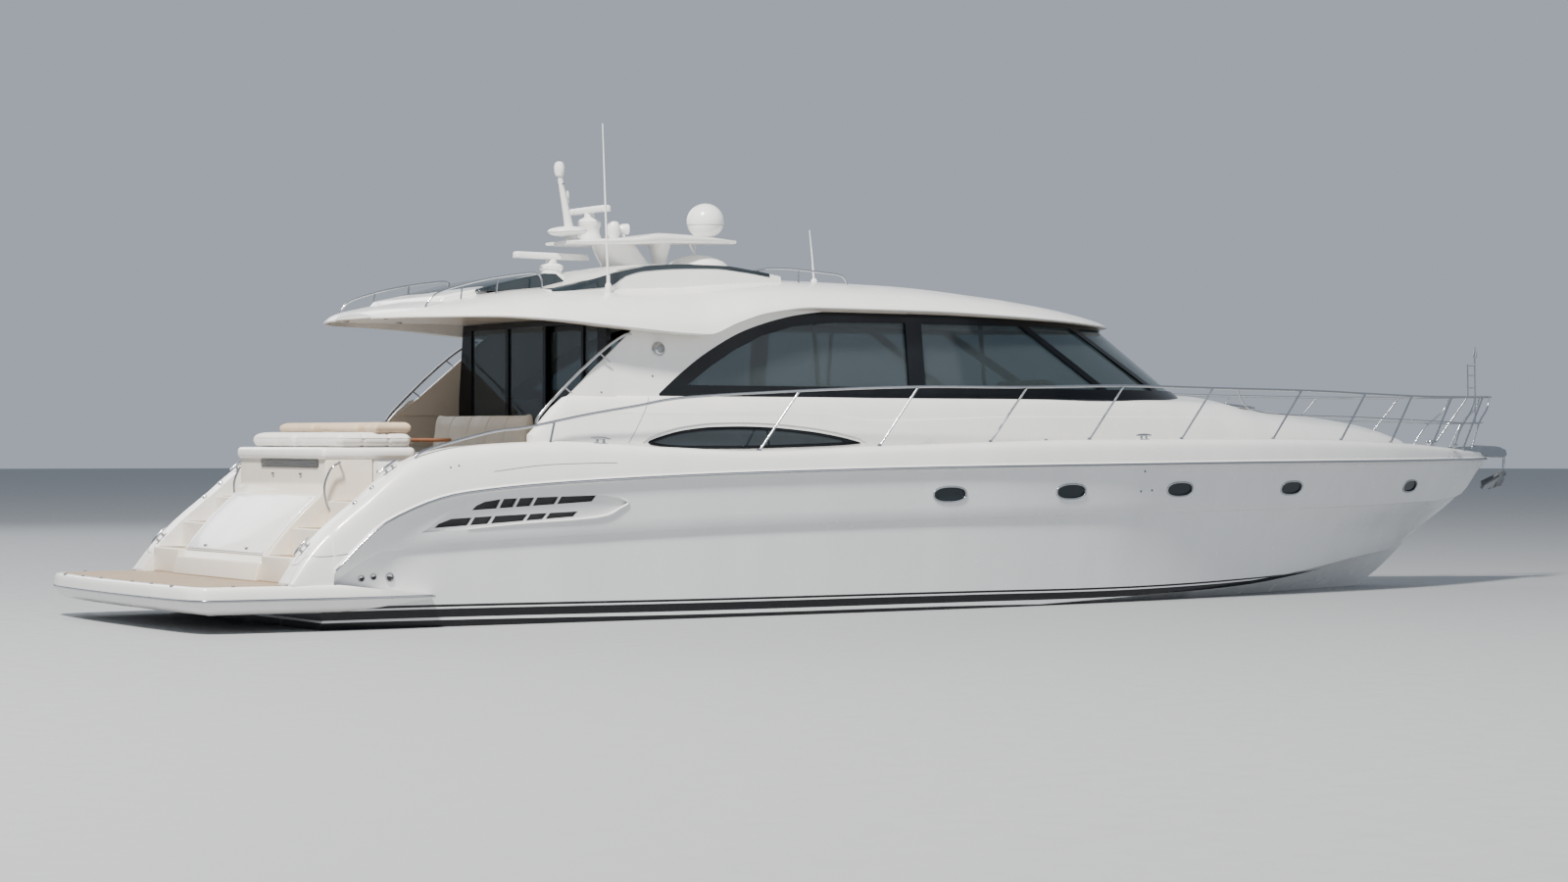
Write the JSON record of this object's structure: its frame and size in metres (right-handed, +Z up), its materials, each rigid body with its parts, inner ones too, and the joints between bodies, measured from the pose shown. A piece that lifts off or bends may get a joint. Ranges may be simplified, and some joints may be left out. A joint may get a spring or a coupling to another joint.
{
  "type": "motor yacht",
  "caption": "Hardtop motor yacht with open cockpit, swim platform, wrapped saloon glass, roof mast with radar and dome, bow rail, shaft-drive propellers and rudders.",
  "frame": {"origin": "centreline of the boat at the foot of the transom, in the plane of the water", "axes": "+X forward to the bow, +Y to port, +Z up"},
  "size_m": [21.17, 5.158, 6.9402],
  "materials": {
    "gelcoat": "gloss",
    "cream_moulding": "satin",
    "teak": "matte",
    "black_frame": "gloss",
    "tinted_glass": "clear",
    "stainless": "polished",
    "bronze": "satin",
    "upholstery": "matte",
    "machinery": "satin"
  },
  "bodies": {
    "yacht": {"hull": "gelcoat", "rub_rail": "stainless", "deck": "gelcoat", "deckhouse": "gelcoat", "window_frame": "black_frame", "side_wing_port": "gelcoat", "side_wing_stbd": "gelcoat", "side_glass_port": "tinted_glass", "side_glass_stbd": "tinted_glass", "windscreen": "tinted_glass", "hardtop": "gelcoat", "roof_pod": "gelcoat", "swim_platform": "gelcoat", "platform_teak": "teak", "garage": "gelcoat", "sole": "cream_moulding", "bulkhead": "black_frame", "lounge_base": "gelcoat", "sunpad": "upholstery", "settee": "upholstery", "cockpit_table": "teak", "helm_console": "machinery", "helm_seat": "upholstery", "saloon_sofa": "upholstery", "galley": "cream_moulding", "mast": "gelcoat", "radar_pedestal_upper": "gelcoat", "radar_pedestal_aft": "gelcoat", "satellite_dome": "gelcoat", "whip_antenna": "gelcoat", "pulpit": "stainless", "bow_roller": "stainless", "anchor": "stainless", "windlass": "stainless", "stairs_port": "gelcoat", "engine_port": "machinery", "shaft_port": "stainless", "side_rail_port": "stainless", "deck_window_port": "black_frame", "stairs_stbd": "gelcoat", "engine_stbd": "machinery", "shaft_stbd": "stainless", "side_rail_stbd": "stainless", "deck_window_stbd": "black_frame"},
    "propeller_port": {"propeller_port": "bronze"},
    "propeller_stbd": {"propeller_stbd": "bronze"},
    "rudder_port": {"rudder_port": "bronze"},
    "rudder_stbd": {"rudder_stbd": "bronze"},
    "trim_tab_port": {"trim_tab_port": "stainless"},
    "trim_tab_stbd": {"trim_tab_stbd": "stainless"},
    "gate_port": {"gate_port": "gelcoat"},
    "gate_stbd": {"gate_stbd": "gelcoat"},
    "garage_lid": {"garage_lid": "gelcoat"},
    "saloon_door": {"saloon_door": "tinted_glass"},
    "radar_bar_upper": {"radar_bar_upper": "gelcoat"},
    "radar_bar_aft": {"radar_bar_aft": "gelcoat"},
    "foredeck_hatch": {"foredeck_hatch": "black_frame"}
  },
  "joints": [
    {"name": "propeller_port_spin", "type": "hinge", "parent": "yacht", "child": "propeller_port", "pos_m": [0.62, 0.9, -0.885], "axis": [0.99, 0, 0.1411], "continuous": true},
    {"name": "rudder_port_steer", "type": "hinge", "parent": "yacht", "child": "rudder_port", "pos_m": [0.17, 0.9, -0.8], "axis": [0, 0, 1], "range_deg": [-35, 35]},
    {"name": "trim_tab_port_swing", "type": "hinge", "parent": "yacht", "child": "trim_tab_port", "pos_m": [-0.012, 1.62, -0.2112], "axis": [0, 0.9479, 0.3185], "range_deg": [-20, 0]},
    {"name": "gate_port_swing", "type": "hinge", "parent": "yacht", "child": "gate_port", "pos_m": [1.07, 1.99, 1.6], "axis": [0, 0, 1], "range_deg": [0, 90]},
    {"name": "propeller_stbd_spin", "type": "hinge", "parent": "yacht", "child": "propeller_stbd", "pos_m": [0.62, -0.9, -0.885], "axis": [0.99, 0, 0.1411], "continuous": true},
    {"name": "rudder_stbd_steer", "type": "hinge", "parent": "yacht", "child": "rudder_stbd", "pos_m": [0.17, -0.9, -0.8], "axis": [0, 0, 1], "range_deg": [-35, 35]},
    {"name": "trim_tab_stbd_swing", "type": "hinge", "parent": "yacht", "child": "trim_tab_stbd", "pos_m": [-0.012, -1.62, -0.2112], "axis": [0, 0.9479, -0.3185], "range_deg": [-20, 0]},
    {"name": "gate_stbd_swing", "type": "hinge", "parent": "yacht", "child": "gate_stbd", "pos_m": [1.07, -1.99, 1.6], "axis": [0, 0, 1], "range_deg": [-90, 0]},
    {"name": "garage_lid_lift", "type": "hinge", "parent": "yacht", "child": "garage_lid", "pos_m": [0.3772, 0, 1.434], "axis": [0, 1, 0], "range_deg": [0, 70]},
    {"name": "saloon_door_slide", "type": "slide", "parent": "yacht", "child": "saloon_door", "axis": [0, 1, 0], "range_m": [0, 0.9]},
    {"name": "radar_upper_spin", "type": "hinge", "parent": "yacht", "child": "radar_bar_upper", "pos_m": [4.514, 0.12, 4.79], "axis": [0, 0, 1], "continuous": true},
    {"name": "radar_aft_spin", "type": "hinge", "parent": "yacht", "child": "radar_bar_aft", "pos_m": [3.93, 0, 4.21], "axis": [0, 0, 1], "continuous": true},
    {"name": "foredeck_hatch_lift", "type": "hinge", "parent": "yacht", "child": "foredeck_hatch", "pos_m": [14.62, 0, 2.48], "axis": [0, 1, 0], "range_deg": [0, 70]}
  ],
  "couplings": [
    {"joint": "rudder_stbd_steer", "follows": "rudder_port_steer", "ratio": 1}
  ]
}
